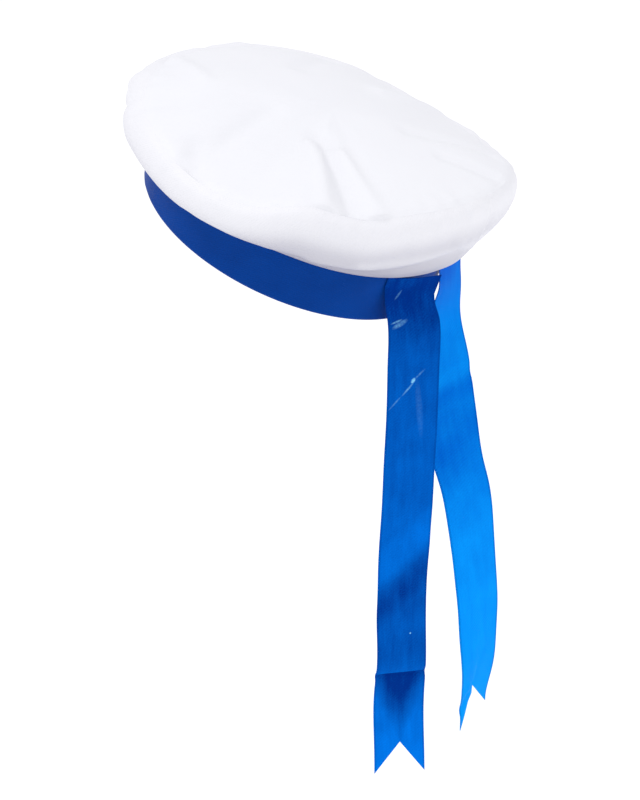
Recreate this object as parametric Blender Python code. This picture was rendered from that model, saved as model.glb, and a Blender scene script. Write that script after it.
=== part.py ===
# Sailor cap: a soft white crown with a rolled side, a blue band and two
# ribbon tails. The origin is the centre of the head opening, +X is the
# wearer's left, +Y the back, +Z up. The tails hang straight down.
import math

import bmesh
import bpy
import numpy as np

# Driving sizes, in metres and degrees
BAND_LENGTH = 0.187      # outside the band, front to back
BAND_WIDTH = 0.157       # outside the band, side to side
BAND_HEIGHT = 0.031
BAND_WALL = 0.002
TOP_DIAMETER = 0.208     # round top piece, across its seam
CROWN_RISE = 0.036       # band's top edge to the seam, all round on average
DOME_HEIGHT = 0.016      # middle of the top above its seam
SIDE_ROLL = 0.020        # how far the side piece rolls out
CROWN_WALL = 0.0012
FOLD_DEPTH = 0.0032      # the deepest fold in the top
CREASE_DEPTH = 0.0024    # the deepest crease in the side
RIBBON_WIDTH = 0.030
RIBBON_THICKNESS = 0.001
LEFT_TAIL_LENGTH = 0.301   # below its sewn end
RIGHT_TAIL_LENGTH = 0.285
NOTCH_DEPTH = 0.020      # swallow-tail cut
RIGHT_TAIL_SLANT = 0.008    # its end is cut unevenly
SEWN_LENGTH = 0.007      # how much of each tail stays straight at its sewn end
LEFT_TAIL_RISE = 0.006   # how far its top climbs under the side piece
RIGHT_TAIL_RISE = -0.002
GAP = 0.0003             # clearance between pieces that touch
CAP_PITCH = 22.0         # the cap sits back on the head

# How finely the pieces are divided
COLUMNS = 80
SIDE_ROWS = 9
TOP_RINGS = 10
TAIL_ROWS = 30
TAIL_COLUMNS = 4
SHARP_ANGLE = 50.0       # edges turning more than this stay sharp

# How the shapes run, as powers and shares
DOME_POWER = 2.4         # a higher power keeps the dome flatter in its middle
SIDE_WAY = 2.0           # the side's way up, in shares of SIDE_ROLL
TAIL_CROWDING = 1.3      # rows of a tail lie closer near its sewn end
TWIST_SHARE = 0.06       # of a tail's length, where it turns as its table says
NOTCH_POWER = 4          # a higher power keeps the swallow-tail cut near the end

# Sections of the crown, by angle from the back towards the wearer's left.
# seam_reach is a share of half of TOP_DIAMETER, seam_rise of CROWN_RISE,
# and the other columns are shares of SIDE_ROLL: where the side leaves the
# band (low) and how it turns in to the seam (high).
SECTION_COLUMNS = ("angle", "seam_reach", "seam_rise", "low_out", "low_up", "high_out", "high_down")
SECTIONS = (
    (0, 1.005, 1.50, 0.74, 0.36, 0.70, 0.80),
    (30, 0.972, 1.34, 0.56, 0.34, 0.75, 1.00),
    (60, 0.955, 1.10, 0.40, 0.22, 0.80, 1.05),
    (90, 0.960, 0.72, 0.42, -0.02, 0.88, 1.06),
    (120, 0.988, 0.80, 0.52, -0.26, 0.86, 1.06),
    (150, 0.988, 0.82, 0.66, -0.36, 1.10, 0.84),
    (180, 0.995, 0.68, 0.74, -0.10, 1.10, 0.50),
    (210, 0.998, 0.67, 0.80, 0.04, 1.18, 0.36),
    (240, 0.988, 0.70, 0.76, 0.14, 1.30, 0.36),
    (270, 1.000, 0.66, 0.60, 0.22, 1.36, 0.36),
    (300, 1.022, 0.94, 0.36, 0.10, 1.26, 0.34),
    (330, 1.042, 1.42, 0.44, -0.45, 0.84, 0.70),
)

# Where the seam dips or lifts between the sections, by angle. The spread
# is in degrees and the drop is a share of SIDE_ROLL.
SEAM_DIPS = (
    (35, 8, 0.16),
    (56, 6, -0.12),
    (73, 9, 0.16),
    (132, 7, 0.10),
)

# Folds of the top: each runs from one point of the round piece to another,
# as angle, reach, angle, reach, width, lift. Reaches are shares of the way from the middle to the seam, the width is a
# share of half of TOP_DIAMETER and the lift a share of FOLD_DEPTH.
FOLDS = (
    (62, 0.34, 41, 0.97, 0.055, -1.00),
    (66, 0.44, 50, 0.97, 0.050, 0.75),
    (46, 0.50, 32, 0.97, 0.055, 0.85),
    (118, 0.36, 100, 0.80, 0.070, -0.60),
    (106, 0.86, 96, 0.97, 0.060, -0.70),
    (330, 0.42, 318, 0.90, 0.060, -0.55),
    (345, 0.66, 340, 0.94, 0.050, -0.50),
    (150, 0.72, 168, 0.96, 0.060, 0.60),
    (215, 0.55, 232, 0.92, 0.080, -0.60),
    (262, 0.60, 276, 0.95, 0.070, 0.60),
)

# Creases of the side, as angle, way, angle, way, width, lift. A way is a
# share of the way up from the band to the seam. The width is a share of SIDE_ROLL, the lift of
# CREASE_DEPTH.
CREASES = (
    (44, 0.20, 2, 0.52, 0.16, -0.80),
    (52, 0.36, 0, 0.64, 0.20, 0.50),
    (352, 0.66, 348, 0.98, 0.22, -0.80),
    (4, 0.70, 0, 0.98, 0.22, 0.70),
    (98, 0.02, 92, 0.40, 0.20, -0.80),
    (146, 0.40, 140, 0.96, 0.24, -0.75),
    (158, 0.50, 154, 0.98, 0.24, 0.75),
    (186, 0.30, 192, 0.96, 0.26, -0.70),
    (208, 0.40, 203, 0.98, 0.26, 0.60),
    (244, 0.30, 250, 0.94, 0.26, -0.65),
    (292, 0.36, 286, 0.96, 0.26, 0.60),
    (316, 0.30, 322, 0.94, 0.26, -0.70),
)

# The tails, by the share of the tail's length. The shifts are shares of
# RIBBON_WIDTH, and turn is where the ribbon faces, in degrees from +Y
# towards the wearer's left.
TAIL_SECTION_COLUMNS = ("way", "left", "back", "turn")
LEFT_TAIL_SEAT = 20.5     # where its left edge is sewn, in degrees from the back
LEFT_TAIL_SECTIONS = (
    (0.00, 0.00, 0.00, 36),
    (0.06, -0.03, 0.08, 38),
    (0.15, -0.01, 0.10, 38),
    (0.42, 0.01, 0.00, 36),
    (0.62, 0.02, -0.11, 35),
    (0.78, 0.03, -0.11, 34),
    (0.80, 0.04, -0.12, 36),
    (1.00, -0.01, -0.14, 42),
)
RIGHT_TAIL_SEAT = -14.0
RIGHT_TAIL_SECTIONS = (
    (0.00, 0.00, 0.00, -14),
    (0.04, 0.00, 0.00, -13),
    (0.10, 0.03, -0.07, -4),
    (0.28, 0.05, 0.07, 30),
    (0.42, 0.03, 0.27, 43),
    (0.48, -0.04, 0.41, 32),
    (0.62, -0.17, 0.54, 20),
    (0.78, -0.26, 0.62, 13),
    (0.90, -0.28, 0.61, 2),
    (1.00, -0.22, 0.53, -6),
)


def clear_scene():
    for old in list(bpy.data.objects):
        bpy.data.objects.remove(old, do_unlink=True)


def satin(name, colour, roughness):
    material = bpy.data.materials.new(name)
    material.use_nodes = True
    shader = material.node_tree.nodes["Principled BSDF"]
    shader.inputs["Base Color"].default_value = (*colour, 1.0)
    shader.inputs["Roughness"].default_value = roughness
    shader.inputs["Metallic"].default_value = 0.0
    return material


def column(names, table, name):
    """One named column of a table, as an array."""
    return np.array([row[names.index(name)] for row in table], float)


def round_blend(stops, values, angles):
    """A smooth periodic curve through values given at even angles."""
    step = stops[1] - stops[0]
    place = (angles % 360.0) / step
    first = np.floor(place).astype(int)
    share = place - first
    count = len(values)
    before, here, after, beyond = (values[(first + k) % count] for k in (-1, 0, 1, 2))
    bend = 2 * before - 5 * here + 4 * after - beyond
    twist = 3 * (here - after) + beyond - before
    return here + 0.5 * share * ((after - before) + share * (bend + share * twist))


def open_blend(stops, values, places):
    """A smooth open curve through values given at rising stops."""
    slopes = np.gradient(values, stops)
    index = np.clip(np.searchsorted(stops, places, side="right") - 1, 0, len(stops) - 2)
    width = stops[index + 1] - stops[index]
    share = (places - stops[index]) / width
    rise = values[index + 1] - values[index]
    start = slopes[index] * width
    end = slopes[index + 1] * width
    curve = share * (start + share * (3 * rise - 2 * start - end + share * (start + end - 2 * rise)))
    return values[index] + curve


def directions(angles):
    """Unit vectors outwards at each angle from the back."""
    turn = np.radians(angles)
    return np.stack([np.sin(turn), np.cos(turn), np.zeros_like(turn)], axis=-1)


def band_outline(angles, inset, height):
    """Points on the band's oval, inset from its outside."""
    half = np.array([BAND_WIDTH / 2 - inset, BAND_LENGTH / 2 - inset, 0.0])
    return directions(angles) * half + np.array([0.0, 0.0, height])


def segment_profile(points, start, end, width):
    """How strongly each point of a plane feels a fold along a segment."""
    run = end - start
    length = np.linalg.norm(run)
    along = ((points - start) @ run) / length**2
    nearest = start + np.clip(along, 0.0, 1.0)[..., None] * run
    distance = np.linalg.norm(points - nearest, axis=-1)
    return np.exp(-((distance / width) ** 2))


def crown_surface():
    """Rows of outside points from the band's inner edge to the top's middle."""
    angles = np.arange(COLUMNS) * 360.0 / COLUMNS
    stops = column(SECTION_COLUMNS, SECTIONS, "angle")

    def section(name):
        return round_blend(stops, column(SECTION_COLUMNS, SECTIONS, name), angles)[:, None]

    out = directions(angles)
    up = np.array([0.0, 0.0, 1.0])
    foot = BAND_HEIGHT + GAP
    inner = band_outline(angles, BAND_WALL, foot)
    outer = band_outline(angles, -2 * GAP - RIBBON_THICKNESS, foot)
    seam = out * (TOP_DIAMETER / 2) * section("seam_reach")
    seam = seam + up * (foot + CROWN_RISE * section("seam_rise") - SIDE_ROLL * seam_drop(angles)[:, None])
    low = outer + SIDE_ROLL * (out * section("low_out") + up * section("low_up"))
    high = seam + SIDE_ROLL * (out * section("high_out") - up * section("high_down"))

    rows = [inner]
    for way in np.linspace(0.0, 1.0, SIDE_ROWS + 1):
        rest = 1.0 - way
        point = rest**3 * outer + 3 * rest**2 * way * low + 3 * rest * way**2 * high + way**3 * seam
        rows.append(point)
    middle = seam.mean(axis=0)
    for ring in range(1, TOP_RINGS):
        reach = 1.0 - ring / TOP_RINGS
        rows.append(middle + (seam - middle) * reach + up * dome(reach))
    return angles, np.array(rows), middle + up * dome(0.0)


def seam_drop(angles):
    """How far the seam dips at each angle, as a share of SIDE_ROLL."""
    drop = np.zeros(len(angles))
    for angle, spread, share in SEAM_DIPS:
        offset = ((angles - angle) + 180.0) % 360.0 - 180.0
        drop += share * np.exp(-((offset / spread) ** 2))
    return drop


def dome(reach):
    """Height of the top above its seam at a share of the way out."""
    return DOME_HEIGHT * (1.0 - reach**DOME_POWER)


def fold_lift(angles, reach):
    """How far the top's folds lift one ring of points."""
    points = directions(angles)[:, :2] * reach
    lift = np.zeros(len(angles))
    for angle_a, reach_a, angle_b, reach_b, width, share in FOLDS:
        start = directions(np.array(angle_a))[:2] * reach_a
        end = directions(np.array(angle_b))[:2] * reach_b
        lift += share * segment_profile(points, start, end, width)
    return FOLD_DEPTH * lift


def crease_lift(angles, way):
    """How far the side's creases lift one row of points."""
    half = TOP_DIAMETER / 2
    depth = SIDE_WAY * SIDE_ROLL
    lift = np.zeros(len(angles))
    for angle_a, way_a, angle_b, way_b, width, share in CREASES:
        middle = angle_a + (((angle_b - angle_a) + 180.0) % 360.0 - 180.0) / 2
        offset = ((angles - middle) + 180.0) % 360.0 - 180.0
        run = ((angle_b - angle_a) + 180.0) % 360.0 - 180.0
        points = np.stack([np.radians(offset) * half, np.full(len(angles), way * depth)], axis=-1)
        start = np.array([-math.radians(run) / 2 * half, way_a * depth])
        end = np.array([math.radians(run) / 2 * half, way_b * depth])
        lift += share * segment_profile(points, start, end, width * SIDE_ROLL)
    fade = math.sqrt(math.sin(math.pi * min(max(way, 0.0), 1.0)))
    return CREASE_DEPTH * fade * lift


def surface_normals(rows, tip):
    """Outward normals of the crown's rows, mitred where they turn."""
    above = np.concatenate([rows[1:], np.broadcast_to(tip, (1, *rows.shape[1:]))])
    below = np.concatenate([rows[:1], rows[:-1]])
    upward = above - rows
    downward = rows - below
    downward[0] = upward[0]
    around = np.roll(rows, -1, axis=1) - np.roll(rows, 1, axis=1)

    def unit(vectors):
        return vectors / np.linalg.norm(vectors, axis=-1, keepdims=True)

    mean = unit(upward) + unit(downward)
    return unit(np.cross(mean, around))


def crown_walls():
    """Outside and inside rows of the crown, with its folds and creases."""
    angles, rows, tip = crown_surface()
    normals = surface_normals(rows, tip)
    for row in range(1, SIDE_ROWS + 1):
        way = (row - 1) / SIDE_ROWS
        rows[row] += normals[row] * crease_lift(angles, way)[:, None]
    for ring in range(1, TOP_RINGS):
        reach = 1.0 - ring / TOP_RINGS
        row = SIDE_ROWS + 1 + ring
        rows[row] += normals[row] * fold_lift(angles, reach)[:, None]
    inside = rows - surface_normals(rows, tip) * CROWN_WALL
    return rows, inside, tip


def pulled_in(rows, edge, neighbour):
    """An edge row moved half a gap towards its neighbour."""
    step = rows[neighbour] - rows[edge]
    return rows[edge] + step / np.linalg.norm(step, axis=-1, keepdims=True) * (GAP / 2)


def skin_rings(mesh, rows, flip):
    """Faces between closed rows of points, and the rows' vertices."""
    rings = [[mesh.verts.new(point) for point in row] for row in rows]
    for lower, upper in zip(rings, rings[1:]):
        count = len(lower)
        for k in range(count):
            face = [lower[k], upper[k], upper[(k + 1) % count], lower[(k + 1) % count]]
            mesh.faces.new(face[::-1] if flip else face)
    return rings


def join_rings(mesh, first, second):
    """The rim between two closed rows of vertices."""
    count = len(first)
    for k in range(count):
        mesh.faces.new([first[k], first[(k + 1) % count], second[(k + 1) % count], second[k]])


def finish(name, mesh, material, parent):
    """Turn a bmesh into a named object with its faces pointing out."""
    bmesh.ops.recalc_face_normals(mesh, faces=mesh.faces)
    data = bpy.data.meshes.new(name)
    mesh.to_mesh(data)
    mesh.free()
    data.shade_smooth()
    data.set_sharp_from_angle(angle=math.radians(SHARP_ANGLE))
    data.materials.append(material)
    piece = bpy.data.objects.new(name, data)
    bpy.context.collection.objects.link(piece)
    piece.parent = parent
    return piece


def wall_ring(name, outside, inside, material, parent):
    """A closed wall between two stacks of rows, open at both ends."""
    mesh = bmesh.new()
    outer = skin_rings(mesh, outside, False)
    inner = skin_rings(mesh, inside, True)
    join_rings(mesh, outer[0], inner[0])
    join_rings(mesh, inner[-1], outer[-1])
    return finish(name, mesh, material, parent)


def make_crown(material, parent):
    """The rolled side piece and the round top piece."""
    outside, inside, tip = crown_walls()
    seam = SIDE_ROWS + 1
    side_out = outside[:seam + 1].copy()
    side_in = inside[:seam + 1].copy()
    top_out = outside[seam:].copy()
    top_in = inside[seam:].copy()
    side_out[-1] = pulled_in(outside, seam, seam - 1)
    side_in[-1] = pulled_in(inside, seam, seam - 1)
    top_out[0] = pulled_in(outside, seam, seam + 1)
    top_in[0] = pulled_in(inside, seam, seam + 1)
    wall_ring("crown_side", side_out, side_in, material, parent)

    mesh = bmesh.new()
    outer = skin_rings(mesh, top_out, False)
    inner = skin_rings(mesh, top_in, True)
    join_rings(mesh, outer[0], inner[0])
    for rings, drop in ((outer, 0.0), (inner, CROWN_WALL)):
        last = rings[-1]
        hub = mesh.verts.new(tip - np.array([0.0, 0.0, drop]))
        for k in range(COLUMNS):
            mesh.faces.new([last[k], last[(k + 1) % COLUMNS], hub])
    finish("crown_top", mesh, material, parent)


def make_band(material, parent):
    """The upright blue band."""
    angles = np.arange(COLUMNS) * 360.0 / COLUMNS
    heights = (0.0, BAND_HEIGHT / 2, BAND_HEIGHT)
    outside = [band_outline(angles, 0.0, height) for height in heights]
    inside = [band_outline(angles, BAND_WALL, height) for height in heights]
    wall_ring("headband", outside, inside, material, parent)


def tilted(points):
    """Points of the cap, turned as the cap sits on the head."""
    turn = math.radians(CAP_PITCH)
    x, y, z = np.moveaxis(np.asarray(points), -1, 0)
    back = y * math.cos(turn) + z * math.sin(turn)
    rise = z * math.cos(turn) - y * math.sin(turn)
    return np.stack([x, back, rise], axis=-1)


def tail_surface(seat_angle, sections, length, slant, top_rise):
    """The middle layer of one tail, as rows of points from the band down."""
    across = np.linspace(0.5, -0.5, TAIL_COLUMNS + 1)
    stops = column(TAIL_SECTION_COLUMNS, sections, "way")
    stand = GAP + RIBBON_THICKNESS / 2
    facing = math.radians(column(TAIL_SECTION_COLUMNS, sections, "turn")[0])
    width = np.array([math.cos(facing), -math.sin(facing), 0.0])
    edge = band_outline(np.array(seat_angle), -stand, BAND_HEIGHT)
    seat = edge + (across[:, None] - 0.5) * RIBBON_WIDTH * width
    climb = top_rise * (0.5 - across) ** 2
    top = tilted(seat + climb[:, None] * np.array([0.0, 0.0, 1.0]))
    bend = tilted(seat - np.array([0.0, 0.0, SEWN_LENGTH]))
    centre = bend[TAIL_COLUMNS // 2]

    rows = [top, bend]
    for row in range(1, TAIL_ROWS + 1):
        way = (row / TAIL_ROWS) ** TAIL_CROWDING
        left, back, turn = (
            float(open_blend(stops, column(TAIL_SECTION_COLUMNS, sections, name), np.array(way)))
            for name in ("left", "back", "turn")
        )
        facing = math.radians(turn)
        width = np.array([math.cos(facing), -math.sin(facing), 0.0])
        shift = np.array([left, back, 0.0]) * RIBBON_WIDTH
        flat = centre + shift + across[:, None] * RIBBON_WIDTH * width
        blend = min(1.0, way / TWIST_SHARE)
        blend = blend * blend * (3.0 - 2.0 * blend)
        point = bend + (flat - bend) * blend
        cut = NOTCH_DEPTH * (1.0 - 2.0 * np.abs(across)) - slant * across
        height = bend[:, 2] * (1.0 - blend) + centre[2] * blend
        point[:, 2] = height - length * way + cut * way**NOTCH_POWER
        rows.append(point)
    return np.array(rows)


def make_tail(name, material, *shape):
    """One ribbon tail with a swallow-tail end."""
    rows = tail_surface(*shape)
    down = np.gradient(rows, axis=0)
    along = np.gradient(rows, axis=1)
    normals = np.cross(along, down)
    normals /= np.linalg.norm(normals, axis=-1, keepdims=True)
    mesh = bmesh.new()
    sheets = []
    for side in (0.5, -0.5):
        layer = rows + normals * RIBBON_THICKNESS * side
        sheets.append([[mesh.verts.new(point) for point in row] for row in layer])
    for sheet in sheets:
        for upper, lower in zip(sheet, sheet[1:]):
            for k in range(TAIL_COLUMNS):
                mesh.faces.new([upper[k], lower[k], lower[k + 1], upper[k + 1]])
    front, rear = (outline(sheet) for sheet in sheets)
    join_rings(mesh, front, rear)
    finish(name, mesh, material, None)


def outline(sheet):
    """The vertices round the edge of a sheet."""
    right = [row[-1] for row in sheet[1:-1]]
    left = [row[0] for row in sheet[1:-1]]
    return sheet[0] + right + sheet[-1][::-1] + left[::-1]


def main():
    clear_scene()
    white = satin("white_satin", (0.90, 0.90, 0.93), 0.42)
    blue = satin("blue_satin", (0.004, 0.045, 0.33), 0.38)
    ribbon = satin("blue_ribbon", (0.0, 0.09, 0.50), 0.34)
    tilt = bpy.data.objects.new("cap_tilt", None)
    tilt.rotation_euler = (-math.radians(CAP_PITCH), 0.0, 0.0)
    bpy.context.collection.objects.link(tilt)
    make_crown(white, tilt)
    make_band(blue, tilt)
    make_tail("tail_left", ribbon, LEFT_TAIL_SEAT, LEFT_TAIL_SECTIONS, LEFT_TAIL_LENGTH, 0.0, LEFT_TAIL_RISE)
    make_tail(
        "tail_right", ribbon, RIGHT_TAIL_SEAT, RIGHT_TAIL_SECTIONS, RIGHT_TAIL_LENGTH, RIGHT_TAIL_SLANT, RIGHT_TAIL_RISE
    )
    bpy.context.view_layer.update()


main()
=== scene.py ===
import math

import bpy
import numpy as np
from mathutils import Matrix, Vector


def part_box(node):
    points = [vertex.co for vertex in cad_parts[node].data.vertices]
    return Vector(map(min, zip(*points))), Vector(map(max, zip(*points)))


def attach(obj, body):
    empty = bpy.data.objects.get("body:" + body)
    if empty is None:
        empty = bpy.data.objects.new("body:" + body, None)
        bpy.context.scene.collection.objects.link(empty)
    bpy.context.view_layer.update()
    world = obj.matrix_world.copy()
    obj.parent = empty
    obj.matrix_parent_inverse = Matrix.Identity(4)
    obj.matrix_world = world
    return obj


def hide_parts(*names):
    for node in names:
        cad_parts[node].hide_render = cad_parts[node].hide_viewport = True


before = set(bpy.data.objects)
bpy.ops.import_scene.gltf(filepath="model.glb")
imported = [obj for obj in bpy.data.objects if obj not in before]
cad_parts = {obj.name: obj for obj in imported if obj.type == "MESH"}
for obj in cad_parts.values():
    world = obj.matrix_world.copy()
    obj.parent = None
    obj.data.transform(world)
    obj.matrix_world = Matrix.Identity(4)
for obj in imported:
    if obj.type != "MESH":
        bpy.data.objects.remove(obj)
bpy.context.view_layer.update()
print("frame loaded:", ", ".join(sorted(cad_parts)))

# sizes of the cap, in metres and degrees, as its solids have them
cap = {
    "bandLength": 0.187,
    "bandWidth": 0.157,
    "bandHeight": 0.031,
    "bandWall": 0.002,
    "topDiameter": 0.208,
    "crownRise": 0.036,
    "domeHeight": 0.016,
    "sideRoll": 0.020,
    "crownWall": 0.0012,
    "ribbonWidth": 0.030,
    "ribbonThickness": 0.001,
    "gap": 0.0003,
    "pitch": 22.0,
    "sharpAngle": 50.0,    # edges that turn more than this stay crisp
}


# small geometry helpers

def directions(angles):
    turn = np.radians(angles)
    return np.stack([np.sin(turn), np.cos(turn), np.zeros_like(turn)], axis=-1)


def bandOutline(angles, inset, height):
    half = np.array([cap["bandWidth"] / 2 - inset, cap["bandLength"] / 2 - inset, 0.0])
    return directions(angles) * half + np.array([0.0, 0.0, height])


def tilted(points):  # from the cap's own frame to the frame of the head
    turn = math.radians(cap["pitch"])
    x, y, z = np.moveaxis(np.asarray(points), -1, 0)
    back = y * math.cos(turn) + z * math.sin(turn)
    rise = z * math.cos(turn) - y * math.sin(turn)
    return np.stack([x, back, rise], axis=-1)


def wrapped(angles):  # -180 to 180
    return (angles + 180.0) % 360.0 - 180.0


def roundBlend(rows, key, angles):  # smooth periodic curve through a column
    values = np.array([row[key] for row in rows], float)
    place = (angles % 360.0) / (360.0 / len(values))
    first = np.floor(place).astype(int)
    share = place - first
    before, here, after, beyond = (values[(first + k) % len(values)] for k in (-1, 0, 1, 2))
    bend = 2 * before - 5 * here + 4 * after - beyond
    twist = 3 * (here - after) + beyond - before
    return here + 0.5 * share * ((after - before) + share * (bend + share * twist))


def openBlend(rows, key, places):  # smooth open curve through a column
    stops = np.array([row[0] for row in rows], float)
    values = np.array([row[key] for row in rows], float)
    slopes = np.gradient(values, stops)
    index = np.clip(np.searchsorted(stops, places, side="right") - 1, 0, len(stops) - 2)
    width = stops[index + 1] - stops[index]
    share = (places - stops[index]) / width
    rise = values[index + 1] - values[index]
    start, end = slopes[index] * width, slopes[index + 1] * width
    curve = start + share * (3 * rise - 2 * start - end + share * (start + end - 2 * rise))
    return values[index] + share * curve


def segmentProfile(points, start, end, width):  # 1 on a fold's line, 0 away from it
    run = end - start
    along = np.clip(((points - start) @ run) / (run @ run), 0.0, 1.0)
    nearest = start + along[..., None] * run
    distance = np.linalg.norm(points - nearest, axis=-1)
    return np.exp(-((distance / width) ** 2))


def unit(vectors):
    return vectors / np.maximum(np.linalg.norm(vectors, axis=-1, keepdims=True), 1e-12)


def smoothStep(value):
    value = np.clip(value, 0.0, 1.0)
    return value * value * (3.0 - 2.0 * value)


def ripple(x, y, seed, waves, low, high):  # gentle unevenness from a few sine waves
    dice = np.random.default_rng(seed)
    total = np.zeros(np.broadcast(x, y).shape)
    for _ in range(waves):
        turn, phase = dice.uniform(0, math.tau, 2)
        pace = math.tau / dice.uniform(low, high)
        total += np.sin((x * math.cos(turn) + y * math.sin(turn)) * pace + phase)
    return total / math.sqrt(waves)


# cloth is each corner's place on the flat cloth, in metres
def buildMesh(name, points, faces, cloth, material):
    mesh = bpy.data.meshes.new(name)
    mesh.from_pydata(points.tolist(), [], faces)
    layer = mesh.uv_layers.new(name="cloth")
    layer.data.foreach_set("uv", cloth.reshape(-1).astype(np.float32))
    mesh.materials.append(material)
    mesh.update()
    mesh.shade_smooth()
    mesh.set_sharp_from_angle(angle=math.radians(cap["sharpAngle"]))
    piece = bpy.data.objects.new(name, mesh)
    bpy.context.collection.objects.link(piece)
    return piece


def gridFaces(rows, columns, closed, flip, start=0):  # faces, and each corner's row and column
    across = np.arange(columns if closed else columns - 1)
    row, col = np.meshgrid(np.arange(rows - 1), across, indexing="ij")
    after = (col + 1) % columns
    here, above = row * columns, (row + 1) * columns
    faces = np.stack([here + col, above + col, above + after, here + after], axis=-1).reshape(-1, 4) + start
    places = np.stack([row, col, row + 1, col, row + 1, col + 1, row, col + 1], axis=-1).reshape(-1, 4, 2)
    return (faces[:, ::-1], places[:, ::-1]) if flip else (faces, places)


# closed rings, open at both ends, with a rim at each
def wallMesh(name, outside, inside, cloth, material):
    rows, columns = outside.shape[:2]
    layer = rows * columns
    outer, outerPlaces = gridFaces(rows, columns, True, False)
    inner, innerPlaces = gridFaces(rows, columns, True, True, layer)
    k = np.arange(columns)
    after = (k + 1) % columns
    low = np.stack([k, after, after + layer, k + layer], axis=-1)
    top = (rows - 1) * columns
    high = np.stack([k + top, k + top + layer, after + top + layer, after + top], axis=-1)
    flat = np.zeros_like(k)
    lowPlaces = np.stack([flat, k, flat, k + 1, flat, k + 1, flat, k], axis=-1).reshape(-1, 4, 2)
    end = flat + rows - 1
    highPlaces = np.stack([end, k, end, k, end, k + 1, end, k + 1], axis=-1).reshape(-1, 4, 2)
    faces = np.concatenate([outer, inner, low, high])
    places = np.concatenate([outerPlaces, innerPlaces, lowPlaces, highPlaces]).reshape(-1, 2)
    points = np.concatenate([outside.reshape(-1, 3), inside.reshape(-1, 3)])
    return buildMesh(name, points, faces.tolist(), cloth[places[:, 0], places[:, 1]], material)


# shader helpers

class Wire:  # a value in a material, usable in plain arithmetic
    def __init__(self, look, socket):
        self.look = look
        self.socket = socket

    def maths(self, operation, *values):
        return self.look.maths(operation, *values)

    def __add__(self, other):
        return self.maths("ADD", self, other)

    def __sub__(self, other):
        return self.maths("SUBTRACT", self, other)

    def __rsub__(self, other):
        return self.maths("SUBTRACT", other, self)

    def __mul__(self, other):
        return self.maths("MULTIPLY", self, other)

    def __truediv__(self, other):
        return self.maths("DIVIDE", self, other)

    def __rtruediv__(self, other):
        return self.maths("DIVIDE", other, self)

    def __pow__(self, other):
        return self.maths("POWER", self, other)

    def __lt__(self, other):
        return self.maths("LESS_THAN", self, other)

    def __gt__(self, other):
        return self.maths("GREATER_THAN", self, other)

    def __abs__(self):
        return self.maths("ABSOLUTE", self)

    __radd__ = __add__
    __rmul__ = __mul__


class Look:  # one material, built round its main shader
    def __init__(self, name, constants):
        self.material = bpy.data.materials.new(name)
        self.material.use_nodes = True
        self.tree = self.material.node_tree
        self.shader = self.tree.nodes["Principled BSDF"]
        for socket, value in constants.items():
            self.shader.inputs[socket].default_value = value

    def node(self, kind, settings=None, inputs=None, output=0):
        made = self.tree.nodes.new(kind)
        for key, value in (settings or {}).items():
            if key == "stops":
                self.setRamp(made.color_ramp, value)
            else:
                setattr(made, key, value)
        for key, value in (inputs or {}).items():
            if isinstance(value, Wire):
                self.tree.links.new(value.socket, made.inputs[key])
            else:
                made.inputs[key].default_value = value
        return Wire(self, made.outputs[output])

    def setRamp(self, ramp, stops):
        while len(ramp.elements) < len(stops):
            ramp.elements.new(1.0)
        for element, (place, level) in zip(ramp.elements, stops):
            element.position = place
            element.color = (level, level, level, 1.0)

    def feed(self, socket, wire):
        self.tree.links.new(wire.socket, self.shader.inputs[socket])

    def clothPlace(self):
        return self.node("ShaderNodeUVMap", {"uv_map": "cloth"})

    def axes(self, vector):
        return [self.node("ShaderNodeSeparateXYZ", None, {0: vector}, k) for k in range(3)]

    def sine(self, value, pitch):  # a wave of that pitch, from -1 to 1
        return self.maths("SINE", value * (math.tau / pitch))

    def clamped(self, value):
        return self.maths("MINIMUM", self.maths("MAXIMUM", value, 0.0), 1.0)

    def maths(self, operation, *values):
        return self.node("ShaderNodeMath", {"operation": operation}, dict(enumerate(values)))

    def noise(self, vector, size, detail=2.0, roughness=0.5):
        inputs = {"Vector": vector, "Scale": 1.0 / size, "Detail": detail, "Roughness": roughness}
        return self.node("ShaderNodeTexNoise", None, inputs)

    def blendColour(self, share, first, second):
        return self.node("ShaderNodeMix", {"data_type": "RGBA"}, {"Factor": share, 6: first, 7: second}, 2)

    def bump(self, height, distance):
        return self.node("ShaderNodeBump", None, {"Height": height, "Distance": distance, "Strength": 0.8})


# white satin of the crown

crownCloth = {
    "shade": (0.76, 0.76, 0.80, 1.0),
    "under": (0.40, 0.39, 0.455, 1.0),    # painted shade below the side's roll
    "twillPitch": 0.0017,
    "twillHeight": 0.00004,
    "threadPitch": 0.0006,
    "slowHeight": 4.0,     # of the slow unevenness, in twill heights
}


def makeCrownCloth(name, twill, light, shaded):
    look = Look(name, {"Roughness": 0.5, "Specular IOR Level": 0.3})
    place = look.clothPlace()
    u, v, _ = look.axes(place)
    slow = look.noise(place, 0.035, 3.0)
    fine = look.noise(place, 0.0011, 2.0)
    wale = look.sine(u + v * 0.8, crownCloth["twillPitch"])
    thread = look.sine(u, crownCloth["threadPitch"]) + look.sine(v, crownCloth["threadPitch"])
    tone = slow * 0.55 + fine * 0.15 + wale * (0.10 * twill)
    colour = look.blendColour(tone, light, crownCloth["shade"])
    # painted shade under the side's roll, read from the side's points
    if shaded:
        under = look.node("ShaderNodeAttribute", {"attribute_name": "under"}, None, 2)
        colour = look.blendColour(under, colour, crownCloth["under"])
    look.feed("Base Color", colour)
    look.feed("Roughness", 0.42 + slow * 0.12 + fine * 0.06)
    height = wale * twill + thread * 0.25 + fine * 1.4 + slow * crownCloth["slowHeight"]
    look.feed("Normal", look.bump(height, crownCloth["twillHeight"]))
    return look.material


# blue satin of the band

bandCloth = {
    "deep": (0.0, 0.022, 0.155, 1.0),
    "bright": (0.0, 0.060, 0.35, 1.0),
    "walePitch": 0.00144,
    "threadHeight": 0.00005,
}


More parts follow.
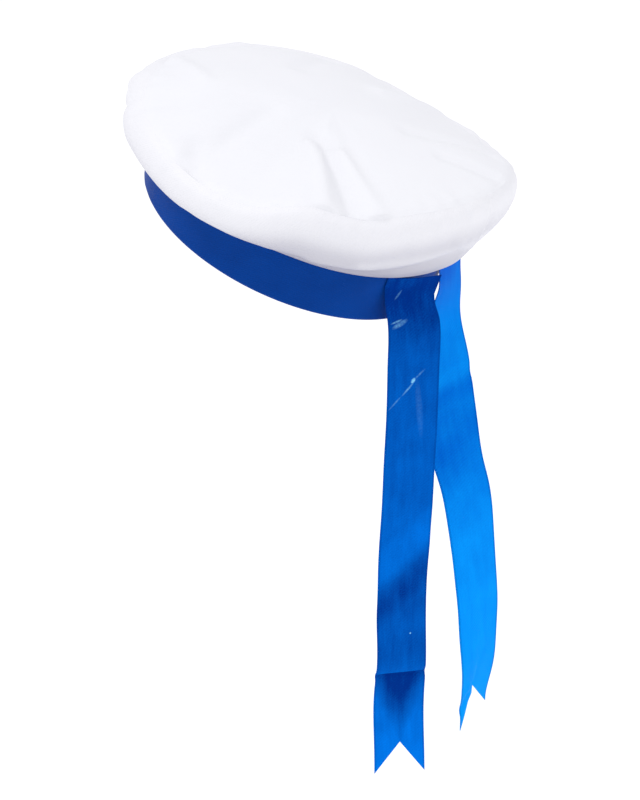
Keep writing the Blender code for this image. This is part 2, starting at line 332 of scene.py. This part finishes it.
def makeBandCloth():
    look = Look("blueSatin", {"Roughness": 0.4, "Specular IOR Level": 0.04})
    place = look.clothPlace()
    u, v, _ = look.axes(place)
    slow = look.noise(place, 0.03, 2.0)
    fine = look.noise(place, 0.0009, 2.0)
    wale = look.sine(u * 0.9 + v, bandCloth["walePitch"])
    tone = slow * 0.6 + fine * 0.4 + wale * 0.06
    look.feed("Base Color", look.blendColour(tone, bandCloth["deep"], bandCloth["bright"]))
    look.feed("Roughness", 0.36 + fine * 0.14)
    height = wale * 0.7 + fine * 1.5
    look.feed("Normal", look.bump(height, bandCloth["threadHeight"]))
    return look.material


# blue satin ribbon of the tails

ribbonCloth = {
    "edgeWidth": 0.0011,
    "ribPitch": 0.0019,
    "ribHeight": 0.00006,
    "streakStretch": 0.12,     # the streaks run along the ribbon
    "edgeColour": (0.0, 0.02, 0.16, 1.0),
    # colour of the worn spots and of a painted highlight
    "scuffAndHighlightColour": (0.22, 0.58, 0.86, 1.0),
}


def makeRibbonCloth(name, tail):
    look = Look(name, {"Roughness": 0.35, "Specular IOR Level": 0.008})
    place = look.clothPlace()
    u, v, _ = look.axes(place)
    slow = look.noise(place, 0.022, 2.0)
    fine = look.noise(place, 0.0009, 2.0)
    rib = look.sine(u * 0.8 - v, ribbonCloth["ribPitch"])
    down = (v - u * tail["toneSlant"]) / tail["length"]
    along = look.node("ShaderNodeValToRGB", {"stops": tail["tones"]}, {"Fac": down})
    stretched = look.node("ShaderNodeCombineXYZ", None, {"X": u, "Y": v * ribbonCloth["streakStretch"]})
    streaks = look.noise(stretched, 0.004, 3.0, 0.6)
    tone = along + (slow - 0.5) * 0.45 + (streaks - 0.5) * 0.45 + (fine - 0.5) * 0.35 + rib * 0.025
    # painted light and shade of soft diagonal folds
    for start, slant, spread, strength in tail["foldShading"]:
        away = (v - start - u * slant) / spread
        tone = tone + look.clamped(1.0 - away * away) * strength
    for start, end, halfWidth, strength in tail["wedges"]:
        inner = look.clamped(((1.0 - (v - start) / (end - start)) - abs(u) / halfWidth) * 1.6)
        tone = tone + inner * (v > start) * strength
    colour = look.blendColour(look.clamped(tone), tail["deep"], tail["bright"])
    edge = abs(u) > cap["ribbonWidth"] / 2 - ribbonCloth["edgeWidth"]
    colour = look.blendColour(edge * 0.25, colour, ribbonCloth["edgeColour"])
    speckle = look.noise(place, 0.0016, 3.0, 0.7)
    # worn spots, and a painted highlight on the left tail's twisted fold
    for left, low, halfLength, halfWidth, turn, strength in tail["scuffsAndHighlight"]:
        x, y = u - left, v - low
        c, d = math.cos(math.radians(turn)), math.sin(math.radians(turn))
        lengthwise = (x * c + y * d) / halfLength
        sideways = (y * c - x * d) / halfWidth
        spot = look.clamped(1.0 - lengthwise * lengthwise - sideways * sideways)
        wearAndHighlight = look.clamped(spot * (speckle * 3.0 - 0.7) * strength)
        colour = look.blendColour(wearAndHighlight, colour, ribbonCloth["scuffAndHighlightColour"])
    look.feed("Base Color", colour)
    look.feed("Roughness", 0.32 + fine * 0.12)
    height = rib * 0.7 + fine * 1.3 + edge * 2.0
    look.feed("Normal", look.bump(height, ribbonCloth["ribHeight"]))
    return look.material


# camera and light, as in the photograph

view = {
    "azimuth": 129.19,
    "elevation": 17.82,
    "distance": 2.0,
    "aimRight": 0.02164,   # the frame's middle, from the origin
    "aimUp": -0.10408,
    "lens": 155.76,
    "offset": (0.0, -0.0054, 0.0022),   # the photograph was fitted about a point this far off
}


def makeCamera():
    turn, rise = math.radians(view["azimuth"]), math.radians(view["elevation"])
    back = Vector((math.sin(turn) * math.cos(rise), -math.cos(turn) * math.cos(rise), math.sin(rise)))
    right = Vector((math.cos(turn), math.sin(turn), 0.0))
    up = back.cross(right)
    data = bpy.data.cameras.new("camera")
    data.lens = view["lens"]
    data.sensor_width = 36.0
    camera = bpy.data.objects.new("camera", data)
    bpy.context.collection.objects.link(camera)
    offset = Vector(view["offset"])
    camera.location = back * view["distance"] + offset
    aim = right * view["aimRight"] + up * view["aimUp"] + offset
    camera.rotation_euler = (aim - camera.location).to_track_quat("-Z", "Y").to_euler()
    bpy.context.scene.camera = camera
    return back, right, up


studio = {
    "world": 0.92,
    "worldColour": (0.97, 0.975, 1.0, 1.0),
    "floorDrop": 0.045,
    "floorGlow": 0.12,
    "lamps": (
        # name, right, up, towards the camera, size, power
        ("key", -1.2, 1.9, 0.5, 0.7, 15.0),
        ("side", 1.7, 0.8, 0.8, 0.9, 5.0),
    ),
}


def makeStudio(back, right, up):
    scene = bpy.context.scene
    scene.view_settings.view_transform = "Standard"
    world = bpy.data.worlds.new("studio")
    scene.world = world
    world.use_nodes = True
    backdrop = world.node_tree.nodes["Background"]
    backdrop.inputs["Color"].default_value = studio["worldColour"]
    backdrop.inputs["Strength"].default_value = studio["world"]
    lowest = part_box("tail_left")[0].z - studio["floorDrop"]
    look = Look("paleFloor", {
        "Base Color": (0.95, 0.95, 0.96, 1.0), "Roughness": 0.9,
        "Emission Color": (1.0, 1.0, 1.0, 1.0), "Emission Strength": studio["floorGlow"],
    })
    place = look.node("ShaderNodeTexCoord", None, None, 3)
    look.feed("Roughness", 0.85 + look.noise(place, 0.4) * 0.1)
    bpy.ops.mesh.primitive_plane_add(size=30.0, location=(0.0, 0.0, lowest))
    floor = bpy.context.object
    floor.name = "floor"
    floor.data.materials.append(look.material)
    level = Vector((back.x, back.y, 0)).normalized()
    for name, along, rise, near, size, power in studio["lamps"]:
        data = bpy.data.lights.new(name, "AREA")
        data.shape = "DISK"
        data.size = size
        data.energy = power
        lamp = bpy.data.objects.new(name, data)
        bpy.context.collection.objects.link(lamp)
        lamp.location = right * along + Vector((0, 0, rise)) + level * near
        lamp.rotation_euler = (Vector((0, 0, -0.05)) - lamp.location).to_track_quat("-Z", "Y").to_euler()


# the crown

crown = {
    "columns": 480,
    "sideRows": 56,
    "topRings": 70,
    # angle from the back towards the wearer's left, seam reach and rise,
    # then where the side leaves the band and how it turns in to the seam
    "sections": (
        (0, 1.005, 1.50, 0.74, 0.36, 0.70, 0.80),
        (30, 0.972, 1.34, 0.56, 0.34, 0.75, 1.00),
        (60, 0.955, 1.10, 0.40, 0.22, 0.80, 1.05),
        (90, 0.960, 0.72, 0.42, -0.02, 0.88, 1.06),
        (120, 0.988, 0.80, 0.52, -0.26, 0.86, 1.06),
        (150, 0.988, 0.82, 0.66, -0.36, 1.10, 0.84),
        (180, 0.995, 0.68, 0.74, -0.10, 1.10, 0.50),
        (210, 0.998, 0.67, 0.80, 0.04, 1.18, 0.36),
        (240, 0.988, 0.70, 0.76, 0.14, 1.30, 0.36),
        (270, 1.000, 0.66, 0.60, 0.22, 1.36, 0.36),
        (300, 1.022, 0.94, 0.36, 0.10, 1.26, 0.34),
        (330, 1.042, 1.42, 0.44, -0.45, 0.84, 0.70),
    ),
    "seamDips": ((35, 8, 0.16), (56, 6, -0.12), (73, 9, 0.16), (132, 7, 0.10)),
    "foldDepth": 0.0036,
    # folds of the top: angle and reach of both ends, width, lift
    "folds": (
        (62, 0.34, 41, 0.97, 0.055, -1.00),
        (66, 0.44, 50, 0.97, 0.050, 0.75),
        (46, 0.50, 32, 0.97, 0.055, 0.85),
        (118, 0.36, 100, 0.80, 0.070, -0.60),
        (106, 0.86, 96, 0.97, 0.060, -0.70),
        (330, 0.42, 318, 0.90, 0.060, -0.55),
        (345, 0.66, 340, 0.94, 0.050, -0.50),
        (150, 0.72, 168, 0.96, 0.060, 0.60),
        (215, 0.55, 232, 0.92, 0.080, -0.60),
        (262, 0.60, 276, 0.95, 0.070, 0.60),
    ),
    "creaseDepth": 0.0024,
    # creases of the side: angle and way of both ends, width, lift
    "creases": (
        (44, 0.20, 2, 0.52, 0.16, -0.80),
        (52, 0.36, 0, 0.64, 0.20, 0.50),
        (352, 0.66, 348, 0.98, 0.22, -0.80),
        (4, 0.70, 0, 0.98, 0.22, 0.70),
        (98, 0.02, 92, 0.40, 0.20, -0.80),
        (146, 0.40, 140, 0.96, 0.24, -0.75),
        (158, 0.50, 154, 0.98, 0.24, 0.75),
        (186, 0.30, 192, 0.96, 0.26, -0.70),
        (208, 0.40, 203, 0.98, 0.26, 0.60),
        (244, 0.30, 250, 0.94, 0.26, -0.65),
        (292, 0.36, 286, 0.96, 0.26, 0.60),
        (316, 0.30, 322, 0.94, 0.26, -0.70),
        (30, 0.52, 8, 0.66, 0.12, -0.45),
        (356, 0.55, 352, 0.90, 0.12, 0.55),
        (64, 0.22, 30, 0.34, 0.12, -0.50),
        (348, 0.34, 322, 0.40, 0.42, -1.30),
        (20, 0.74, 326, 0.74, 0.24, 0.45),
    ),
    # painted shade and painted highlight lines of the side, in the same terms
    "shades": (
        (74, 0.54, -34, 0.74, 0.26, 0.20),
        (36, 0.50, -28, 0.60, 0.13, -0.20),
        (60, 0.20, 26, 0.12, 0.26, 0.24),
        (30, 0.90, -30, 0.88, 0.36, -0.12),
    ),
    "domePower": 2.4,
    "softMiddle": 0.2,         # share of the top that is rounded off at its middle
    "sideReach": 2.2,          # length up the side, in rolls
    "seamGroove": 0.0012,     # how deep the stitches pull the seam in
    "grooveWidth": 0.0022,
    "pucker": 0.0005,
    "puckerAngle": 40.0,       # where they are deepest
    "puckerReach": 0.009,
    "stitchReach": 0.002,
    "unevenness": 0.0005,      # of the top
    "sideUnevenness": 0.00015,
    "sideColour": (0.805, 0.80, 0.825, 1.0),
    "topColour": (0.80, 0.80, 0.825, 1.0),
    "softShade": ((118, 45, 0.17), (8, 30, 0.11)),    # painted shade: angle, spread, share
    "underShade": 0.88,        # how much painted shade the side takes under its roll
}


def bezier(t, start, low, high, end):
    return (1 - t) ** 3 * start + 3 * (1 - t) ** 2 * t * low + 3 * (1 - t) * t**2 * high + t**3 * end


def hump(angles, angle, spread):  # 1 at that angle, 0 away from it
    return np.exp(-((wrapped(angles - angle) / spread) ** 2))


def seamDrop(angles):
    return sum(share * hump(angles, angle, spread) for angle, spread, share in crown["seamDips"])


def foldLift(angles, reach):
    points = directions(angles)[..., :2] * reach[..., None]
    lift = np.zeros(points.shape[:-1])
    for angleA, reachA, angleB, reachB, width, share in crown["folds"]:
        start = directions(np.array(angleA, float))[:2] * reachA
        end = directions(np.array(angleB, float))[:2] * reachB
        lift += share * segmentProfile(points, start, end, width)
    return crown["foldDepth"] * lift


def sideProfile(marks, angles, way):
    half, depth, roll = cap["topDiameter"] / 2, 2.0 * cap["sideRoll"], cap["sideRoll"]
    total = np.zeros(np.broadcast(angles, way).shape)
    for angleA, wayA, angleB, wayB, width, share in marks:
        run = wrapped(angleB - angleA)
        offset = wrapped(angles - (angleA + run / 2))
        points = np.stack(np.broadcast_arrays(np.radians(offset) * half, way * depth), axis=-1)
        start = np.array([-math.radians(run) / 2 * half, wayA * depth])
        end = np.array([math.radians(run) / 2 * half, wayB * depth])
        total += share * segmentProfile(points, start, end, width * roll)
    return total


def creaseLift(angles, way):
    fade = np.sqrt(np.sin(np.pi * np.clip(way, 0.0, 1.0)))
    return crown["creaseDepth"] * fade * sideProfile(crown["creases"], angles, way)


def sideShade(angles, way):  # how much painted shade the side takes, from 0 to 1, less where painted highlights lie
    under = crown["underShade"] * smoothStep((0.81 - way) / 0.60) * smoothStep((way - 0.004) / 0.02)
    under = under * (0.32 + 0.68 * (0.5 + 0.5 * np.cos(np.radians(angles - 52.0))) ** 1.5)
    for angle, spread, share in crown["softShade"]:
        soft = hump(angles, angle, spread) * smoothStep((1.0 - way) / 0.4)
        under = under + share * soft * (1.0 - under)
    return np.clip(under + sideProfile(crown["shades"], angles, way), 0.0, 1.0)


def rowNormals(rows, tip):
    above = np.concatenate([rows[1:], np.broadcast_to(tip, (1, *rows.shape[1:]))])
    below = np.concatenate([rows[:1], rows[:-1]])
    upward, downward = above - rows, rows - below
    downward[0] = upward[0]
    around = np.roll(rows, -1, axis=1) - np.roll(rows, 1, axis=1)
    return unit(np.cross(unit(upward) + unit(downward), around))


def makeCrown():
    angles = np.arange(crown["columns"]) * 360.0 / crown["columns"]
    section = [roundBlend(crown["sections"], key, angles)[:, None] for key in range(7)]
    out, up = directions(angles), np.array([0.0, 0.0, 1.0])
    roll, gap = cap["sideRoll"], cap["gap"]
    foot = cap["bandHeight"] + gap
    inner = bandOutline(angles, cap["bandWall"], foot)
    outer = bandOutline(angles, -2 * gap - cap["ribbonThickness"], foot)
    drop = roll * seamDrop(angles)[:, None]
    seam = out * (cap["topDiameter"] / 2) * section[1] + up * (foot + cap["crownRise"] * section[2] - drop)
    low = outer + roll * (out * section[3] + up * section[4])
    high = seam + roll * (out * section[5] - up * section[6])

    ways = np.linspace(0.0, 1.0, crown["sideRows"] + 1)
    sideRows = [inner] + [bezier(t, outer, low, high, seam) for t in ways]
    reaches = 1.0 - np.arange(1, crown["topRings"]) / crown["topRings"]
    middle = seam.mean(axis=0)
    soft = crown["softMiddle"]
    topRows = []
    for r in reaches:
        level = (math.hypot(r, soft) - soft) / (math.hypot(1, soft) - soft)
        dome = up * cap["domeHeight"] * (1 - r ** crown["domePower"])
        topRows.append(middle + (seam - middle) * np.array([r, r, level]) + dome)
    tip = middle + up * cap["domeHeight"]
    rows = np.array(sideRows + topRows)
    normals = rowNormals(rows, tip)

    count = len(sideRows)
    wayGrid, reachGrid, angleGrid = ways[:, None], reaches[:, None], angles[None, :]
    arc = np.radians(angleGrid) * cap["topDiameter"] / 2
    lift = np.zeros(rows.shape[:2])
    lift[1:count] = creaseLift(angleGrid, wayGrid)
    lift[count:] = foldLift(*np.broadcast_arrays(angleGrid, reachGrid))

    # the stitched seam pulls both pieces in, more at some stitches than others
    sideDistance = (1.0 - wayGrid) * crown["sideReach"] * roll
    topDistance = (1.0 - reachGrid) * cap["topDiameter"] / 2
    strength = 0.6 + 0.4 * np.cos(np.radians(angleGrid - crown["puckerAngle"]))
    puckers = ripple(arc, 0.0 * arc, 7, 9, 0.006, 0.022) * strength
    for part, distance in ((slice(1, count), sideDistance), (slice(count, None), topDistance)):
        near = np.exp(-((distance / crown["puckerReach"]) ** 1.5))
        past = 1 - np.exp(-((distance / crown["stitchReach"]) ** 2))
        lift[part] -= crown["seamGroove"] * np.exp(-((distance / crown["grooveWidth"]) ** 2))
        lift[part] += crown["pucker"] * puckers * near * past
    x, y = rows[count:, :, 0], rows[count:, :, 1]
    fade = smoothStep((1.0 - reachGrid) * 8.0)
    lift[count:] += crown["unevenness"] * fade * ripple(x, y, 11, 10, 0.035, 0.11)
    slant = wayGrid * crown["sideReach"] * roll
    fade = np.sin(np.pi * wayGrid) ** 0.7
    lift[1:count] += crown["sideUnevenness"] * fade * ripple(arc, slant, 12, 9, 0.020, 0.07)
    rows = rows + normals * lift[..., None]
    inside = rows - rowNormals(rows, tip) * cap["crownWall"]

    twill = makeCrownCloth("whiteTwill", 1.0, crown["sideColour"], True)
    outside, lining = tilted(rows[:count]), tilted(inside[:count])
    side = wallMesh("crownSide", outside, lining, ringCloth(rows[:count]), twill)
    # painted shade of the side, kept on its points for its material
    under = sideShade(angleGrid, wayGrid)
    under = np.concatenate([np.zeros((1, under.shape[1])), under])
    layer = side.data.attributes.new("under", "FLOAT", "POINT")
    layer.data.foreach_set("value", np.tile(under.reshape(-1), 2).astype(np.float32))
    seamRow = count - 1
    top = topMesh(rows[seamRow:], inside[seamRow:], tip)
    return side, top


def steps(rows, axis):  # length of each step from one point to the next
    return np.linalg.norm(np.diff(rows, axis=axis), axis=-1)


def ringCloth(rows):  # place on the flat cloth: along the ring, and up it
    around = steps(np.concatenate([rows, rows[:, :1]], axis=1), 1).mean(axis=0)
    u = np.concatenate([[0.0], np.cumsum(around)])
    v = np.concatenate([np.zeros((1, rows.shape[1])), np.cumsum(steps(rows, 0), axis=0)])
    v = np.concatenate([v, v[:, :1]], axis=1)
    return np.stack([np.broadcast_to(u, v.shape), v], axis=-1)


def topMesh(outside, inside, tip):
    rings, columns = outside.shape[:2]
    layer = rings * columns
    outside, inside = outside.copy(), inside.copy()
    shift = -unit(outside[1] - outside[0]) * 0.5 * cap["gap"]   # its edge tucks in under the side's
    outside[0] += shift
    inside[0] += shift
    outer, _ = gridFaces(rings, columns, True, False)
    inner, _ = gridFaces(rings, columns, True, True, layer)
    k = np.arange(columns)
    after = (k + 1) % columns
    rim = np.stack([k, after, after + layer, k + layer], axis=-1)
    hub = np.full_like(k, 2 * layer)
    last = (rings - 1) * columns
    middle = np.stack([k + last, hub, after + last], axis=-1)
    lining = np.stack([after + last + layer, hub + 1, k + last + layer], axis=-1)
    lowTip = tip - [0, 0, cap["crownWall"]]
    points = np.concatenate([outside.reshape(-1, 3), inside.reshape(-1, 3), [tip, lowTip]])
    quads, triangles = np.concatenate([outer, inner, rim]), np.concatenate([middle, lining])
    faces = quads.tolist() + triangles.tolist()
    cloth = points[np.concatenate([quads.reshape(-1), triangles.reshape(-1)]), :2]
    satin = makeCrownCloth("whiteSatin", 0.35, crown["topColour"], False)
    return buildMesh("crownTop", tilted(points), faces, cloth, satin)


# the band

band = {
    "columns": 420,
    "edge": 0.0009,        # how far the folded edges are rounded
    "rows": 30,
    "wave": 0.00025,
}


def makeBand():
    angles = np.arange(band["columns"]) * 360.0 / band["columns"]
    height, wall = cap["bandHeight"], cap["bandWall"]
    ups = np.linspace(0.0, 1.0, band["rows"] + 1)
    arc = np.radians(angles) * cap["bandLength"] / 2
    outside, inside = [], []
    for up in ups:
        z = up * height
        ease = min(z, height - z) / band["edge"]
        rounding = band["edge"] * (1.0 - math.sqrt(max(0.0, 1.0 - (1.0 - min(ease, 1.0)) ** 2)))
        wave = band["wave"] * ripple(arc, z + 0.0 * arc, 21, 8, 0.018, 0.06) * min(1.0, ease)
        inward = (rounding + np.abs(wave))[:, None]
        outside.append(bandOutline(angles, 0.0, z) - directions(angles) * inward)
        inside.append(bandOutline(angles, wall, z) + directions(angles) * (rounding * 0.8))
    outside, inside = np.array(outside), np.array(inside)
    return wallMesh("headBand", tilted(outside), tilted(inside), ringCloth(outside), makeBandCloth())


# the ribbon tails

ribbons = {
    "rows": 300,
    "columns": 24,
    "thickness": 0.00045,
    "sewn": 0.007,
    "notch": 0.020,
    "notchPower": 4,
    "crowding": 1.1,       # rows stand closer near the top
    "bendShare": 0.06,     # how soon it hangs free of the band
    "unevenness": 0.0007,
}
leftTail = {
    "seed": 39,
    "seat": 20.5,       # where its left edge is sewn, in degrees from the back
    "length": 0.301,
    "slant": 0.0,
    "rise": 0.006,      # how far its top climbs under the side piece
    # way down, then left, back and turn
    "sections": (
        (0.00, 0.00, 0.00, 36),
        (0.06, -0.03, 0.08, 38),
        (0.15, -0.01, 0.10, 38),
        (0.42, 0.01, 0.00, 36),
        (0.62, 0.02, -0.11, 35),
        (0.78, 0.03, -0.11, 34),
        (0.80, 0.04, -0.12, 36),
        (1.00, -0.01, -0.14, 42),
    ),
    # creases across the ribbon: way down and place across at both ends, width, lift
    "creases": (
        (0.785, -0.5, 0.785, 0.5, 0.0022, 0.0016),
        (0.62, -0.5, 0.52, 0.5, 0.010, -0.0012),
        (0.06, 0.30, 0.00, 0.05, 0.003, 0.0012),
        (0.06, 0.30, 0.10, 0.05, 0.003, -0.0008),
        (0.06, 0.30, 0.05, 0.50, 0.003, 0.0008),
    ),
    "deep": (0.0, 0.028, 0.23, 1.0),
    "bright": (0.0, 0.18, 0.77, 1.0),
    # brightness down the ribbon, where it catches the light
    "tones": (
        (0.00, 0.02),
        (0.05, 0.10),
        (0.13, 0.40),
        (0.30, 0.46),
        (0.47, 0.54),
        (0.62, 0.38),
        (0.74, 0.32),
        (0.776, 0.46),
        (0.784, 0.62),
        (1.00, 0.95),
    ),
    "toneSlant": 0.0,
    # painted light and shade of soft diagonal folds: place down, slant, width, brightness
    "foldShading": (
        (0.157, 0.9, 0.016, 0.22),
        (0.180, 0.9, 0.016, -0.20),
    ),
    # shadow below the crease: from, to, half width, brightness
    "wedges": ((0.2355, 0.283, 0.021, -0.66),),
    # worn spots and a painted highlight: across, down, half length, half width, turn, strength
    "scuffsAndHighlight": (
        (0.0081, 0.0190, 0.0056, 0.0016, 28, 0.40),
        (0.0100, 0.0175, 0.0040, 0.0007, 20, 0.55),
        (0.0000, 0.0530, 0.0020, 0.0012, 60, 1.4),
        (0.0030, 0.0580, 0.0055, 0.0007, 49, 0.55),
        (0.0105, 0.0660, 0.0060, 0.0006, 47, 0.28),
        (-0.0035, 0.0495, 0.0050, 0.0007, 45, 0.25),
        # painted highlight on the fold where the ribbon twists at its top
        (0.0070, 0.0020, 0.0040, 0.0007, 50, 0.30),
        (-0.0040, 0.0700, 0.0200, 0.0022, 96, 0.07),
        (-0.0052, 0.2110, 0.0006, 0.0006, 0, 1.6),
    ),
}
rightTail = {
    "seed": 40,
    "seat": -14.0,
    "length": 0.285,
    "slant": 0.008,
    "rise": -0.002,
    "sections": (
        (0.00, 0.00, 0.00, -14),
        (0.04, 0.00, 0.00, -13),
        (0.10, 0.03, -0.07, -4),
        (0.28, 0.05, 0.07, 30),
        (0.42, 0.03, 0.27, 43),
        (0.48, -0.04, 0.41, 32),
        (0.62, -0.17, 0.54, 20),
        (0.78, -0.26, 0.62, 13),
        (0.90, -0.28, 0.61, 2),
        (1.00, -0.22, 0.53, -6),
    ),
    "creases": (
        (0.215, -0.5, 0.245, 0.5, 0.004, 0.0012),
        (0.93, -0.2, 0.99, 0.4, 0.004, -0.0012),
        (0.97, -0.5, 0.93, -0.1, 0.003, 0.0010),
    ),
    # painted light: lighter than the left tail's colours, standing in for the sheen this tail catches as it
    # faces the light more; it is the same ribbon
    "deep": (0.0, 0.11, 0.60, 1.0),
    "bright": (0.002, 0.31, 0.94, 1.0),
    "tones": (
        (0.00, 0.00),
        (0.06, 0.30),
        (0.14, 0.60),
        (0.26, 0.62),
        (0.28, 0.42),
        (0.45, 0.42),
        (0.60, 0.78),
        (1.00, 1.00),
    ),
    "toneSlant": 0.3,
    "foldShading": (
        (0.070, 0.3, 0.005, 0.12),
        (0.081, 0.3, 0.007, -0.15),
        (0.110, 0.9, 0.010, -0.12),
        (0.135, 0.9, 0.012, 0.10),
    ),
    "wedges": (),
    "scuffsAndHighlight": (),
}


def acrossDirection(turn):  # level, along the ribbon's width
    turn = math.radians(turn)
    return np.array([math.cos(turn), -math.sin(turn), 0.0])


def makeTail(name, tail):
    width, length = cap["ribbonWidth"], tail["length"]
    across = np.linspace(0.5, -0.5, ribbons["columns"] + 1)
    stand = cap["gap"] + cap["ribbonThickness"] / 2
    spread = acrossDirection(tail["sections"][0][3])
    up = np.array([0.0, 0.0, 1.0])
    edge = bandOutline(np.array(tail["seat"]), -stand, cap["bandHeight"])
    seat = edge + (across[:, None] - 0.5) * width * spread
    climb = (tail["rise"] * (0.5 - across) ** 2)[:, None]
    shares = (1.0, 0.75, 0.5, 0.25, 0.0)
    rows = [tilted(seat + up * (climb * share - ribbons["sewn"] * (1 - share))) for share in shares]
    bend = rows[-1]
    centre = bend[ribbons["columns"] // 2]
    for row in range(1, ribbons["rows"] + 1):
        way = (row / ribbons["rows"]) ** ribbons["crowding"]
        left, back, turn = (float(openBlend(tail["sections"], key, np.array(way))) for key in (1, 2, 3))
        spread = acrossDirection(turn)
        flat = centre + np.array([left, back, 0.0]) * width + across[:, None] * width * spread
        blend = float(smoothStep(way / ribbons["bendShare"]))
        point = bend + (flat - bend) * blend
        cut = ribbons["notch"] * (1.0 - 2.0 * np.abs(across)) - tail["slant"] * across
        start = bend[:, 2] * (1.0 - blend) + centre[2] * blend
        point[:, 2] = start - length * way + cut * way ** ribbons["notchPower"]
        rows.append(point)
    rows = np.array(rows)
    normals = sheetNormals(rows)

    drop = (centre[2] - rows[..., 2]) / length
    side = np.broadcast_to(across[None, :], drop.shape)
    plane = np.stack([side * width, drop * length], axis=-1)
    lift = np.zeros(drop.shape)
    for wayA, sideA, wayB, sideB, spread, height in tail["creases"]:
        start = np.array([-sideA * width, wayA * length])
        end = np.array([-sideB * width, wayB * length])
        lift += height * segmentProfile(plane, start, end, spread)
    free = smoothStep(drop / 0.1)
    lift += ribbons["unevenness"] * free * ripple(plane[..., 0], plane[..., 1], tail["seed"], 7, 0.03, 0.12)
    rows = rows + normals * lift[..., None]
    normals = sheetNormals(rows)
    layers = [rows + normals * ribbons["thickness"] * s for s in (0.5, -0.5)]
    return ribbonMesh(name, layers, plane, makeRibbonCloth(name + "Satin", tail))


def sheetNormals(rows):
    return unit(np.cross(np.gradient(rows, axis=1), np.gradient(rows, axis=0)))


def ribbonMesh(name, layers, plane, material):
    rows, columns = layers[0].shape[:2]
    layer = rows * columns
    front, _ = gridFaces(rows, columns, False, False)
    rear, _ = gridFaces(rows, columns, False, True, layer)
    edge = list(range(columns))
    edge += [r * columns + columns - 1 for r in range(1, rows)]
    edge += [(rows - 1) * columns + k for k in range(columns - 2, -1, -1)]
    edge += [r * columns for r in range(rows - 2, 0, -1)]
    edge = np.array(edge)
    after = np.roll(edge, -1)
    rim = np.stack([edge, after, after + layer, edge + layer], axis=-1)
    faces = np.concatenate([front, rear, rim])
    points = np.concatenate([part.reshape(-1, 3) for part in layers])
    flat = np.concatenate([plane.reshape(-1, 2)] * 2)
    return buildMesh(name, points, faces.tolist(), flat[faces.reshape(-1)], material)


# making everything

back, right, up = makeCamera()
makeStudio(back, right, up)
print("camera and studio ready")

crownSide, crownTop = makeCrown()
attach(crownSide, "root")
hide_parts("crown_side")
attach(crownTop, "root")
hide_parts("crown_top")
print("crown made")

headBand = makeBand()
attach(headBand, "root")
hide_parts("headband")
print("band made")

tailLeft = makeTail("tailLeft", leftTail)
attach(tailLeft, "root")
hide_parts("tail_left")
tailRight = makeTail("tailRight", rightTail)
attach(tailRight, "root")
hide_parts("tail_right")
print("tails made")
